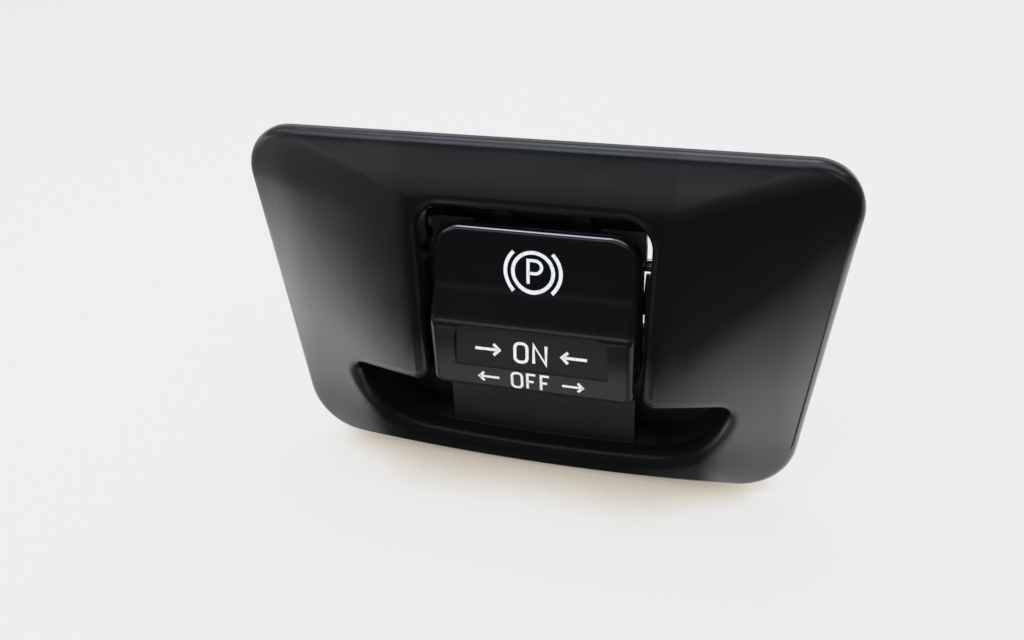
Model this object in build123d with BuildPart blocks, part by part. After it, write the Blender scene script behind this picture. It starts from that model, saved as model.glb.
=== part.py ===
from build123d import *
import os
from math import acos, asin, cos, degrees, radians, sin, tan

# Parking brake switch for a dashboard. Millimetres. The front faces -Y, +Z is up, and the flat
# rear of the bezel's rim, which seats on the dashboard, is the plane Y = 0.

# Bezel outline, seen from the front
bezel_top_width = 105.0
bezel_bottom_width = 89.0
bezel_corner_z = 62.35
bezel_sag = 2.35
bezel_top_radius = 8.0
bezel_bottom_radius = 10.5
bezel_wall = 2.0

# Bezel crown: how far it swells in front of the rim on its way in to the paddle slot
rim_height = 2.2
rim_roll = 1.6
crown_pivot_z = 35.0
crown_contours = [(0.0, rim_height, 0.0), (0.28, 3.9, 0.8), (0.63, 5.4, 1.7), (1.0, 6.4, 2.45)]
crown_margin = 0.4
crown_inner_radius = 4.0

# Opening: the paddle's slot above, the crescent finger recess below
slot_foot_half = 19.0
slot_top_half = 20.2
slot_top_z = 51.2
slot_radius = 4.9
pad_z = 17.4
pad_rise = 1.2
pad_radius = 2.4
tip_radius = 1.2
recess_half = 21.0
recess_z = 6.2
recess_sag = 0.8
recess_radius = 13.9
collar_wall = 1.5
slot_roll = 2.0

# Skirt that enters the dashboard's cut-out
skirt_inset = 5.0
skirt_wall = 1.4
skirt_reach = 3.5

# Screw bosses behind the bezel: four for the housing, two for the finger well
boss_radius = 3.0
module_boss_x = 27.0
module_boss_zs = (25.0, 50.0)
well_boss_x = 40.0
well_boss_z = 13.5
well_boss_radius = 2.5
boss_reach = 3.0

# Spring clips on two towers at the bezel's top corners
tower_x = 39.0
tower_width = 9.0
tower_gap = 2.0
tower_z = 54.4
tower_thickness = 2.4
tower_reach = 10.0
clip_width = 7.0
clip_thickness = 0.5
clip_rise = 3.0
clip_peak_y = 4.6
clip_tip_y = 2.6
clip_bend = 2.0

# Finger well
well_gap = 0.15
well_depth = 9.0
well_wall = 1.4
block_half = 17.2
block_face_y = 0.5
block_shoulder_z = 15.0
block_slope = 3.7
ear_thickness = 1.6
ear_half_height = 3.0
ear_length = 12.4
ear_shift = 3.0
hook_x = 24.0
hook_width = 5.0
hook_drop = 3.2
hook_length = 5.2
hook_nose = 1.2

# Pivot of the paddle
pivot_y = 4.5
pivot_z = 39.8
pin_radius = 1.1
pin_inner_x = 9.4
pin_outer_x = 24.0
running_clearance = 0.03
bush_radius = 2.0
bush_rim = 0.8
bush_flange = 0.4
ring_thickness = 0.6
pin_clearance = 0.6

# Paddle
paddle_half = 18.1
paddle_top_gap = 3.6
paddle_foot_gap = 0.6
paddle_top_z = slot_top_z - paddle_top_gap
paddle_foot_z = pad_z + paddle_foot_gap
paddle_lip_proud = 6.9
paddle_foot_proud = 6.4
paddle_crest_z = 30.6
paddle_knee_z = 37.0
paddle_knee_proud = 3.5
paddle_top_proud = 2.65
paddle_crest_radius = 3.0
paddle_knee_radius = 7.0
paddle_top_radius = 5.2
paddle_foot_radius = 1.8
paddle_roll = 1.15
paddle_wall = 1.8
paddle_back_y = 1.0
scoop_half = 13.6
scoop_top_z = 30.6
scoop_foot_z = 22.6
scoop_depth = 1.1
scoop_radius = 2.6

# Paddle carrier: plate, hubs and the tail that drives the contact slider
plate_front_y = -0.3
plate_thickness = 2.7
plate_gap = 0.4
plate_foot_z = 24.0
hub_radius = 3.3
hub_inner_x = 9.2
hub_outer_x = 15.5
tail_length = 14.0
tail_drop = 8.0
tail_half = 2.0
tail_root_height = 7.0
ball_radius = 2.2
carrier_screw_x = 12.6
carrier_screw_z = 27.6
carrier_pad_z = 43.4
carrier_boss_radius = 2.0

# Light guide
guide_front_half = 5.4
guide_rear_half = 8.0
guide_height = 6.6
guide_drop = 8.0
guide_z = paddle_top_z - guide_drop
guide_front_y = -1.1
guide_rear_y = 13.0
guide_rear_z = 42.3
guide_rear_height = 4.0
guide_clearance = 0.1

# Housing
flange_y = boss_reach
flange_thickness = 2.0
flange_half = 31.0
flange_top_z = 55.0
flange_foot_z = 20.8
flange_radius = 3.0
window_half = 20.6
window_top_z = 51.0
arm_inner_x = 19.6
arm_thickness = 3.0
arm_boss_radius = 3.8
lining_x = 18.4
lining_gap_z = 1.6
lining_width = 5.3
column_thickness = 2.0
column_height = 4.2
box_half = 12.4
box_wall = 1.6
box_foot_z = 8.0
box_top_z = 49.0
box_front_y = 9.3
box_rear_y = 29.0
cross_foot_z = 6.0
bridge_foot_z = 45.0
port_half = 9.0
port_foot_z = 27.5
port_top_z = 45.6
runner_x = 10.0
runner_thickness = 2.4
runner_end_y = 27.0
ear_boss_radius = 2.6
ear_boss_length = 7.0
cover_screw_places = ((-14.2, 43.5), (14.2, 43.5), (0.0, 6.2))

# Slider and its rails
slider_half = 8.6
slider_height = 12.0
slider_front_y = 15.5
slider_rear_y = 24.4
tongue_reach = 2.0
tongue_front_y = 18.0
tongue_rear_y = 21.0
slide_clearance = 0.15
slot_clearance = 0.2
slot_half = 2.8
slot_rear_y = 22.2
rail_thickness = 1.95
rail_foot_z = 17.0
rail_top_z = 46.0
peg_radius = 1.2
peg_height = 1.4

# Centring springs
spring_radius = 1.95
spring_wire_radius = 0.28
spring_turns = 5
spring_clearance = 0.1

# Circuit board and what is on it
board_half = 10.5
board_front_y = 25.5
board_thickness = 1.6
board_foot_z = 13.2
board_top_z = 46.8
board_screw_x = 8.2
board_screw_z = 15.2
sill_front_y = 14.0
sill_height = 3.4
track_thickness = 0.12
track_width = 1.8
track_length = 3.6
track_pitch_x = 5.0
track_pitch_z = 4.4
contact_gap = 0.05
wiper_thickness = 0.25
wiper_width = 1.2
led_x = 6.0
led_z = 43.0
led_size = 2.8
led_height = 1.2
chip_height = 1.1
board_chips = (
    (0.0, 32.0, 6.0, 5.0),
    (-6.5, 37.5, 3.2, 1.6),
    (6.5, 37.5, 3.2, 1.6),
    (6.0, 42.0, 2.0, 1.2),
)

# Rear cover, connector shroud and pins
cover_thickness = 2.0
cover_lip = 0.8
shroud_z = 21.5
shroud_half = 9.2
shroud_half_height = 4.9
shroud_wall = 1.3
shroud_length = 12.0
latch_width = 4.0
latch_length = 2.4
latch_y = 8.0
pin_size = 0.64
pin_pitch = 4.0
pin_columns = 4
pin_row_zs = (shroud_z - pin_pitch / 2, shroud_z + pin_pitch / 2)
pin_tip_y = 39.5
pin_solder = 0.5

# Rubber stops
stop_radius = 1.6
stop_x = 7.0
push_stop_z = 25.0
pull_stop_z = 46.8
stop_height = 1.4
stop_post_wall = 0.8
push_stop_y = 3.85
pull_stop_y = 3.6
stem_radius = 0.8
stem_length = 1.4

# Screws: shank radius, head radius, head height, shank length
module_screw = (1.25, 2.5, 1.6, 5.0)
well_screw = (1.0, 1.9, 1.2, 3.6)
carrier_screw = (0.9, 1.7, 1.1, 5.0)
cover_screw = (1.0, 1.9, 1.3, 7.0)
board_screw = (0.9, 1.6, 1.0, 6.0)
screw_clearance = 0.05
socket_share = 0.55

overrun = 1.0
slider_z = pivot_z - tail_drop
bezel_top_half = bezel_top_width / 2
bezel_foot_half = bezel_bottom_width / 2


def blend(start, end, share):
    return start + (end - start) * share


def depth(distance):
    # Plane parallel to the rim, this far behind it
    return Plane.XZ.offset(-distance)


def contour(inset, share):
    # Rounded trapezoid: the bezel's outline at share 0, just inside the slot at share 1
    top = blend(bezel_top_half - inset, slot_top_half - crown_margin, share)
    foot = blend(bezel_foot_half - inset, slot_foot_half - crown_margin, share)
    top_z = blend(bezel_corner_z - inset, slot_top_z - crown_margin, share)
    foot_z = blend(bezel_sag + inset, pad_z + crown_margin, share)
    sag = blend(bezel_sag, bezel_sag / 8, share)
    top_radius = blend(bezel_top_radius - inset, crown_inner_radius, share)
    foot_radius = blend(bezel_bottom_radius - inset, crown_inner_radius, share)
    with BuildSketch() as shape:
        with BuildLine():
            Polyline((-foot, foot_z), (-top, top_z), (top, top_z), (foot, foot_z))
            ThreePointArc((foot, foot_z), (0, foot_z - sag), (-foot, foot_z))
        make_face()
        fillet(shape.vertices().group_by(Axis.Y)[-1], top_radius)
        corners = shape.vertices().filter_by(lambda v: abs(v.Y - foot_z) < 0.01)
        fillet(corners, foot_radius)
    return shape.sketch


def crown_plane(height, lean):
    # Section plane in front of the rim, leaning back at its top about the crown's middle
    rise = tan(radians(lean))
    origin = (0, -height - crown_pivot_z * rise, 0)
    return Plane(origin=origin, x_dir=(1, 0, 0), z_dir=(0, -cos(radians(lean)), sin(radians(lean))))


def crown(inset, behind):
    # The bezel's swelling form, or the hollow inside it when inset is the wall
    with BuildPart() as form:
        with BuildSketch(depth(behind)):
            add(contour(inset, 0))
        extrude(amount=rim_height - inset + behind)
        for share, height, lean in crown_contours:
            with BuildSketch(crown_plane(height - inset, lean)):
                add(contour(inset, share))
        loft()
    return form.part


def recess():
    # Crescent below the pads, right half drawn and mirrored
    sag_radius = (recess_half**2 + recess_sag**2) / (2 * recess_sag)
    start_slope = asin(recess_half / sag_radius)
    centre_z = recess_z + recess_radius * cos(start_slope)
    end_slope = acos((centre_z - pad_z - pad_rise) / recess_radius)
    with BuildSketch() as shape:
        with BuildLine():
            floor = JernArc((0, recess_z - recess_sag), (1, 0), sag_radius, degrees(start_slope))
            end = JernArc(floor @ 1, floor % 1, recess_radius, degrees(end_slope - start_slope))
            Polyline(end @ 1, (slot_foot_half, pad_z), (0, pad_z))
            mirror(about=Plane.YZ)
        make_face()
        fillet(shape.vertices().group_by(Axis.Y)[-1].filter_by(lambda v: abs(v.X) > 1), tip_radius)
    return shape.sketch


def opening(grow):
    # Slot and crescent together, as one outline that can be grown
    slot_mid_z = (pad_z + recess_z) / 2
    with BuildSketch() as shape:
        with BuildLine():
            Polyline(
                (-slot_foot_half, slot_mid_z),
                (-slot_foot_half, pad_z),
                (-slot_top_half, slot_top_z),
                (slot_top_half, slot_top_z),
                (slot_foot_half, pad_z),
                (slot_foot_half, slot_mid_z),
                close=True,
            )
        make_face()
        fillet(shape.vertices().group_by(Axis.Y)[-1], slot_radius)
        add(recess())
        inner = shape.vertices().filter_by(
            lambda v: abs(v.Y - pad_z) < 0.01 and abs(abs(v.X) - slot_foot_half) < 0.01
        )
        fillet(inner, pad_radius)
        if grow:
            offset(amount=grow)
    return shape.sketch


def skirt():
    # Ring inside the rim, left out below the pads and where the clips sit
    with BuildSketch() as shape:
        add(contour(skirt_inset, 0))
        add(contour(skirt_inset + skirt_wall, 0), mode=Mode.SUBTRACT)
        with Locations((0, 0)):
            Rectangle(bezel_top_width, 2 * flange_foot_z, mode=Mode.SUBTRACT)
        with Locations((-tower_x, bezel_corner_z), (tower_x, bezel_corner_z)):
            Rectangle(tower_width + 2 * tower_gap, 4 * skirt_inset, mode=Mode.SUBTRACT)
    return shape.sketch


def bosses():
    with BuildSketch() as shape:
        with Locations(*module_places()):
            Circle(boss_radius)
        with Locations(*well_places()):
            Circle(well_boss_radius)
    return shape.sketch


def towers():
    with BuildSketch() as shape:
        with Locations((-tower_x, tower_z), (tower_x, tower_z)):
            Rectangle(tower_width, tower_thickness)
    return shape.sketch


def module_places():
    return [(side * module_boss_x, z) for side in (-1, 1) for z in module_boss_zs]


def well_places():
    return [(-well_boss_x, well_boss_z), (well_boss_x, well_boss_z)]


def screw_set(size, seat_y, places):
    # Screws driven from behind: heads seated at seat_y, shanks pointing to the front
    shank, head, height, length = size
    with BuildPart() as group:
        with BuildSketch(depth(seat_y)):
            with Locations(*places):
                Circle(head)
        extrude(amount=-height)
        fillet(group.edges().group_by(Axis.Y)[-1], height / 3)
        with BuildSketch(depth(seat_y)):
            with Locations(*places):
                Circle(shank)
        extrude(amount=length)
        with BuildSketch(depth(seat_y + height)):
            with Locations(*places):
                RegularPolygon(head * socket_share, 6)
        extrude(amount=height * socket_share, mode=Mode.SUBTRACT)
    return group.part


# Bezel: moulded crown with a collar round the opening, skirt, screw bosses and clip towers
with BuildPart() as bezel_hollow:
    add(crown(bezel_wall, overrun))
    for kept in (opening(collar_wall), skirt(), bosses(), towers()):
        with BuildSketch(depth(overrun)):
            add(kept)
        extrude(amount=overrun + crown_contours[-1][1] + bezel_wall, mode=Mode.SUBTRACT)

with BuildSketch(Plane.XZ) as opening_outline:
    add(opening(0))


def front_rim(outline, front_y):
    # Filter for the edges in front of front_y that follow an outline drawn at Y = 0
    wire = outline.faces()[0].outer_wire()

    def follows(edge):
        mid = edge @ 0.5
        off_line = wire.distance_to(Vertex(mid.X, 0, mid.Z))
        return mid.Y < front_y and off_line < 0.01 and abs((edge % 0.5).Y) < 0.8

    return follows


with BuildPart() as bezel:
    add(crown(0, 0))
    fillet(bezel.edges().filter_by(lambda e: abs(e.center().Y + rim_height) < 0.05), rim_roll)
    add(bezel_hollow.part, mode=Mode.SUBTRACT)
    with BuildSketch(depth(overrun)):
        add(opening(0))
    extrude(amount=overrun + crown_contours[-1][1] + bezel_wall, mode=Mode.SUBTRACT)
    opening_rim = front_rim(opening_outline.sketch, -rim_height / 2)
    fillet(bezel.edges().filter_by(opening_rim), slot_roll)
    for reach, shape in ((skirt_reach, skirt()), (boss_reach, bosses()), (tower_reach, towers())):
        with BuildSketch(depth(0)):
            add(shape)
        extrude(amount=-reach)
    for size, places in ((module_screw, module_places()), (well_screw, well_places())):
        with BuildSketch(depth(boss_reach)):
            with Locations(*places):
                Circle(size[0] + screw_clearance)
        extrude(amount=size[3], mode=Mode.SUBTRACT)
bezel.part.label = "bezel"

# Finger well: crescent pan behind the recess, with the block that stands under the paddle
pocket_rear_y = well_depth - well_wall
with BuildPart() as well_block:
    with BuildSketch(Plane.YZ):
        Polygon(
            (block_face_y, 0),
            (block_face_y, block_shoulder_z),
            (block_face_y + block_slope, pad_z),
            (pocket_rear_y, pad_z),
            (pocket_rear_y, 0),
            align=None,
        )
    extrude(amount=block_half, both=True)

with BuildPart() as well_pocket:
    with BuildSketch(depth(well_gap)):
        add(recess())
    extrude(amount=well_gap - pocket_rear_y)
    add(well_block.part, mode=Mode.SUBTRACT)

with BuildPart() as finger_well:
    with BuildSketch(depth(well_gap)):
        add(recess())
        offset(amount=well_wall)
    extrude(amount=well_gap - well_depth)
    with BuildSketch(depth(well_gap)):
        with Locations((0, pad_z)):
            Rectangle(2 * slot_foot_half, 4 * well_wall, align=(Align.CENTER, Align.MIN))
    extrude(amount=well_gap - pocket_rear_y, mode=Mode.SUBTRACT)
    add(well_pocket.part, mode=Mode.SUBTRACT)
    with BuildSketch(Plane.YZ):
        Polygon(
            (block_face_y + well_wall, recess_z + well_wall),
            (block_face_y + well_wall, block_shoulder_z - well_wall / 2),
            (block_face_y + well_wall + block_slope / 2, pad_z - 1.5 * well_wall),
            (well_depth, pad_z - 1.5 * well_wall),
            (well_depth, recess_z + well_wall),
            align=None,
        )
    extrude(amount=block_half - well_wall, both=True, mode=Mode.SUBTRACT)
    for side in (-1, 1):
        with BuildSketch(depth(boss_reach)):
            with Locations((side * (well_boss_x - ear_shift), well_boss_z)):
                Rectangle(ear_length, 2 * ear_half_height)
            add(recess(), mode=Mode.SUBTRACT)
        extrude(amount=-ear_thickness)
        with BuildSketch(Plane.YZ.offset(side * hook_x)):
            hook_foot = recess_z - well_wall - hook_drop
            Polygon(
                (skirt_reach, recess_z - well_wall / 2),
                (skirt_reach, hook_foot),
                (skirt_reach + hook_nose, hook_foot),
                (skirt_reach + hook_length, recess_z - well_wall / 2),
                align=None,
            )
        extrude(amount=hook_width / 2, both=True)
    with BuildSketch(depth(boss_reach)):
        with Locations(*well_places()):
            Circle(well_screw[0] + screw_clearance)
    extrude(amount=-ear_thickness, mode=Mode.SUBTRACT)
finger_well.part.label = "finger_well"

# Spring clips: one bent strip over each tower
with BuildPart() as retaining_clips:
    half_strip = clip_thickness / 2
    under_z = tower_z - tower_thickness / 2 - half_strip - screw_clearance
    over_z = tower_z + tower_thickness / 2 + half_strip + screw_clearance
    back_y = tower_reach + half_strip + screw_clearance
    for side in (-1, 1):
        with BuildSketch(Plane.YZ.offset(side * tower_x)):
            with BuildLine():
                strip = Polyline(
                    (skirt_reach, under_z),
                    (back_y, under_z),
                    (back_y, over_z),
                    (back_y - clip_bend, over_z),
                    (clip_peak_y, over_z + clip_rise),
                    (clip_tip_y, over_z + clip_rise / 3),
                )
            trace(line_width=clip_thickness)
        extrude(amount=clip_width / 2, both=True)
retaining_clips.part.label = "retaining_clips"


def paddle_profile(inset):
    # Side view of the paddle's front: flat panel, hollow knee and the lip that is pulled
    back = paddle_back_y if inset == 0 else paddle_back_y + overrun
    with BuildSketch() as shape:
        with BuildLine():
            Polyline(
                (back, paddle_foot_z + inset),
                (inset - paddle_foot_proud, paddle_foot_z + inset),
                (inset - paddle_lip_proud, paddle_crest_z),
                (inset - paddle_knee_proud, paddle_knee_z),
                (inset - paddle_top_proud, paddle_top_z - inset),
                (back, paddle_top_z - inset),
                close=True,
            )
        make_face()
        fillet(
            shape.vertices().filter_by(lambda v: abs(v.Y - paddle_crest_z) < 0.01),
            paddle_crest_radius,
        )
        fillet(
            shape.vertices().filter_by(lambda v: abs(v.Y - paddle_knee_z) < 0.01),
            paddle_knee_radius,
        )
    return shape.sketch


def paddle_outline(inset):
    with BuildSketch() as shape:
        with Locations((0, paddle_foot_z + inset)):
            height = paddle_top_z - paddle_foot_z - 2 * inset
            Rectangle(2 * (paddle_half - inset), height, align=(Align.CENTER, Align.MIN))
        fillet(shape.vertices().group_by(Axis.Y)[-1], max(paddle_top_radius - inset, 0.5))
        fillet(shape.vertices().group_by(Axis.Y)[0], max(paddle_foot_radius - inset, 0.5))
    return shape.sketch


def paddle_form(inset):
    with BuildPart() as form:
        with BuildSketch(Plane.YZ):
            add(paddle_profile(inset))
        extrude(amount=paddle_half, both=True)
        with BuildSketch(depth(paddle_back_y + overrun)):
            add(paddle_outline(inset))
        extrude(amount=4 * paddle_lip_proud, mode=Mode.INTERSECT)
    return form.part


plate_rear_y = plate_front_y + plate_thickness
carrier_boss_places = [(side * carrier_screw_x, carrier_screw_z) for side in (-1, 1)]
carrier_pad_places = [(side * carrier_screw_x, carrier_pad_z) for side in (-1, 1)]

# Paddle shell: the moulded face that is pushed and pulled
with BuildPart() as shell_hollow:
    add(paddle_form(paddle_wall))
    with BuildSketch(depth(plate_front_y)):
        with Locations(*carrier_boss_places, *carrier_pad_places):
            Circle(carrier_boss_radius)
    extrude(amount=2 * paddle_lip_proud, mode=Mode.SUBTRACT)

with BuildSketch(Plane.XZ) as paddle_front:
    add(paddle_outline(0))

with BuildPart() as scoop:
    with BuildSketch(Plane.YZ):
        Polygon(
            (-2 * paddle_lip_proud, scoop_top_z),
            (scoop_depth - paddle_lip_proud, scoop_top_z),
            (-paddle_foot_proud, scoop_foot_z),
            (-2 * paddle_lip_proud, scoop_foot_z),
            align=None,
        )
    extrude(amount=scoop_half, both=True)
    fillet(scoop.edges().filter_by(Axis.Y).group_by(Axis.Z)[-1], scoop_radius)

with BuildPart() as paddle_shell:
    add(paddle_form(0))
    paddle_rim = front_rim(paddle_front.sketch, -paddle_top_proud / 2)
    fillet(paddle_shell.edges().filter_by(paddle_rim), paddle_roll)
    add(scoop.part, mode=Mode.SUBTRACT)
    add(shell_hollow.part, mode=Mode.SUBTRACT)
    with BuildSketch(depth(plate_front_y)):
        with Locations(*carrier_boss_places):
            Circle(carrier_screw[0] + screw_clearance)
    extrude(amount=carrier_screw[3] - plate_thickness, mode=Mode.SUBTRACT)
paddle_shell.part.label = "paddle_shell"

# Paddle carrier: plate behind the shell, hubs on the pivot and the tail with its ball
ball_y = pivot_y + tail_length
plate_half = paddle_half - paddle_wall - plate_gap
plate_top_z = paddle_top_z - paddle_wall - plate_gap
with BuildPart() as paddle_carrier:
    with BuildSketch(depth(plate_front_y)) as plate_shape:
        with Locations((0, plate_foot_z)):
            plate_height = plate_top_z - plate_foot_z
            Rectangle(2 * plate_half, plate_height, align=(Align.CENTER, Align.MIN))
        fillet(plate_shape.vertices().group_by(Axis.Z)[-1], paddle_top_radius - paddle_wall)
    extrude(amount=-plate_thickness)
    for side in (-1, 1):
        with BuildSketch(Plane.YZ.offset(side * hub_inner_x)):
            with Locations((pivot_y, pivot_z)):
                Circle(hub_radius)
            with Locations((plate_rear_y, pivot_z)):
                hub_reach = pivot_y - plate_rear_y
                Rectangle(hub_reach, 2 * hub_radius, align=(Align.MIN, Align.CENTER))
        extrude(amount=side * (hub_outer_x - hub_inner_x))
    with BuildSketch(Plane.YZ):
        Polygon(
            (plate_rear_y, slider_z - tail_root_height / 2),
            (plate_rear_y, slider_z + tail_root_height / 2),
            (ball_y, slider_z + ball_radius / 2),
            (ball_y, slider_z - ball_radius / 2),
            align=None,
        )
    extrude(amount=tail_half, both=True)
    with BuildSketch(Plane.YZ):
        with BuildLine():
            half_round = CenterArc((ball_y, slider_z), ball_radius, -90, 180)
            Line(half_round @ 0, half_round @ 1)
        make_face()
    revolve(axis=Axis((0, ball_y, slider_z), (0, 0, 1)))
    with BuildSketch(depth(plate_front_y)):
        with Locations((0, guide_z)):
            Rectangle(2 * (guide_front_half + guide_clearance), guide_height + 2 * guide_clearance)
    extrude(amount=-plate_thickness, mode=Mode.SUBTRACT)
    with BuildSketch(Plane.YZ):
        with Locations((pivot_y, pivot_z)):
            Circle(pin_radius + running_clearance)
    extrude(amount=paddle_half, both=True, mode=Mode.SUBTRACT)
    with BuildSketch(depth(plate_front_y)):
        with Locations(*carrier_boss_places):
            Circle(carrier_screw[0] + screw_clearance)
    extrude(amount=-plate_thickness, mode=Mode.SUBTRACT)
paddle_carrier.part.label = "paddle_carrier"

with BuildPart() as carrier_screws:
    add(screw_set(carrier_screw, plate_rear_y, carrier_boss_places))
carrier_screws.part.label = "carrier_screws"

# Light guide: clear bar that widens from the carrier's window to the lamps
with BuildPart() as light_guide:
    with BuildSketch(depth(guide_front_y)):
        with Locations((0, guide_z)):
            Rectangle(2 * guide_front_half, guide_height)
    extrude(amount=guide_front_y - plate_rear_y)
    with BuildSketch(depth(plate_rear_y)):
        with Locations((0, guide_z)):
            Rectangle(2 * guide_front_half, guide_height)
    with BuildSketch(depth(guide_rear_y)):
        with Locations((0, guide_rear_z)):
            Rectangle(2 * guide_rear_half, guide_rear_height)
    loft()
light_guide.part.label = "light_guide"

# Pivot: two pins, their bushes in the housing's arms and a ring on the end of each
with BuildPart() as pivot_pins:
    for side in (-1, 1):
        with BuildSketch(Plane.YZ.offset(side * pin_inner_x)):
            with Locations((pivot_y, pivot_z)):
                Circle(pin_radius)
        extrude(amount=side * (pin_outer_x - pin_inner_x))
    chamfer(pivot_pins.edges().filter_by(GeomType.CIRCLE), pin_radius / 6)
pivot_pins.part.label = "pivot_pins"

arm_outer_x = arm_inner_x + arm_thickness
with BuildPart() as pivot_bushes:
    for side in (-1, 1):
        with BuildSketch(Plane.YZ.offset(side * arm_inner_x)):
            with Locations((pivot_y, pivot_z)):
                Circle(bush_radius)
        extrude(amount=side * arm_thickness)
        with BuildSketch(Plane.YZ.offset(side * arm_outer_x)):
            with Locations((pivot_y, pivot_z)):
                Circle(bush_radius + bush_rim)
        extrude(amount=side * bush_flange)
    with BuildSketch(Plane.YZ):
        with Locations((pivot_y, pivot_z)):
            Circle(pin_radius + running_clearance)
    extrude(amount=pin_outer_x, both=True, mode=Mode.SUBTRACT)
pivot_bushes.part.label = "pivot_bushes"

with BuildPart() as pin_rings:
    for side in (-1, 1):
        with BuildSketch(Plane.YZ.offset(side * (arm_outer_x + bush_flange + screw_clearance))):
            with Locations((pivot_y, pivot_z)):
                Circle(bush_radius + bush_rim)
                Circle(pin_radius + running_clearance / 2, mode=Mode.SUBTRACT)
            with Locations((pivot_y, pivot_z - bush_radius)):
                Rectangle(pin_radius, 2 * bush_radius, mode=Mode.SUBTRACT)
        extrude(amount=side * ring_thickness)
pin_rings.part.label = "pin_rings"

# Switch housing: flange and arms round the paddle, and the box for the contacts behind it
box_height = box_top_z - box_foot_z
tongue_half = slider_half + tongue_reach
rail_front_y = tongue_front_y - slide_clearance - rail_thickness
rail_rear_y = tongue_rear_y + slide_clearance
push_stop_places = [(side * stop_x, push_stop_z) for side in (-1, 1)]
pull_stop_places = [(side * stop_x, pull_stop_z) for side in (-1, 1)]
board_screw_places = [(side * board_screw_x, board_screw_z) for side in (-1, 1)]


def box_outline(inset, reach):
    # Outline of the box, with ears for the cover's screws when reach is their radius
    with BuildSketch() as shape:
        with Locations((0, box_foot_z + inset)):
            height = box_height - 2 * inset
            Rectangle(2 * (box_half - inset), height, align=(Align.CENTER, Align.MIN))
        fillet(shape.vertices(), box_wall / 2)
        if reach:
            with Locations(*cover_screw_places):
                Circle(reach)
    return shape.sketch


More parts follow.
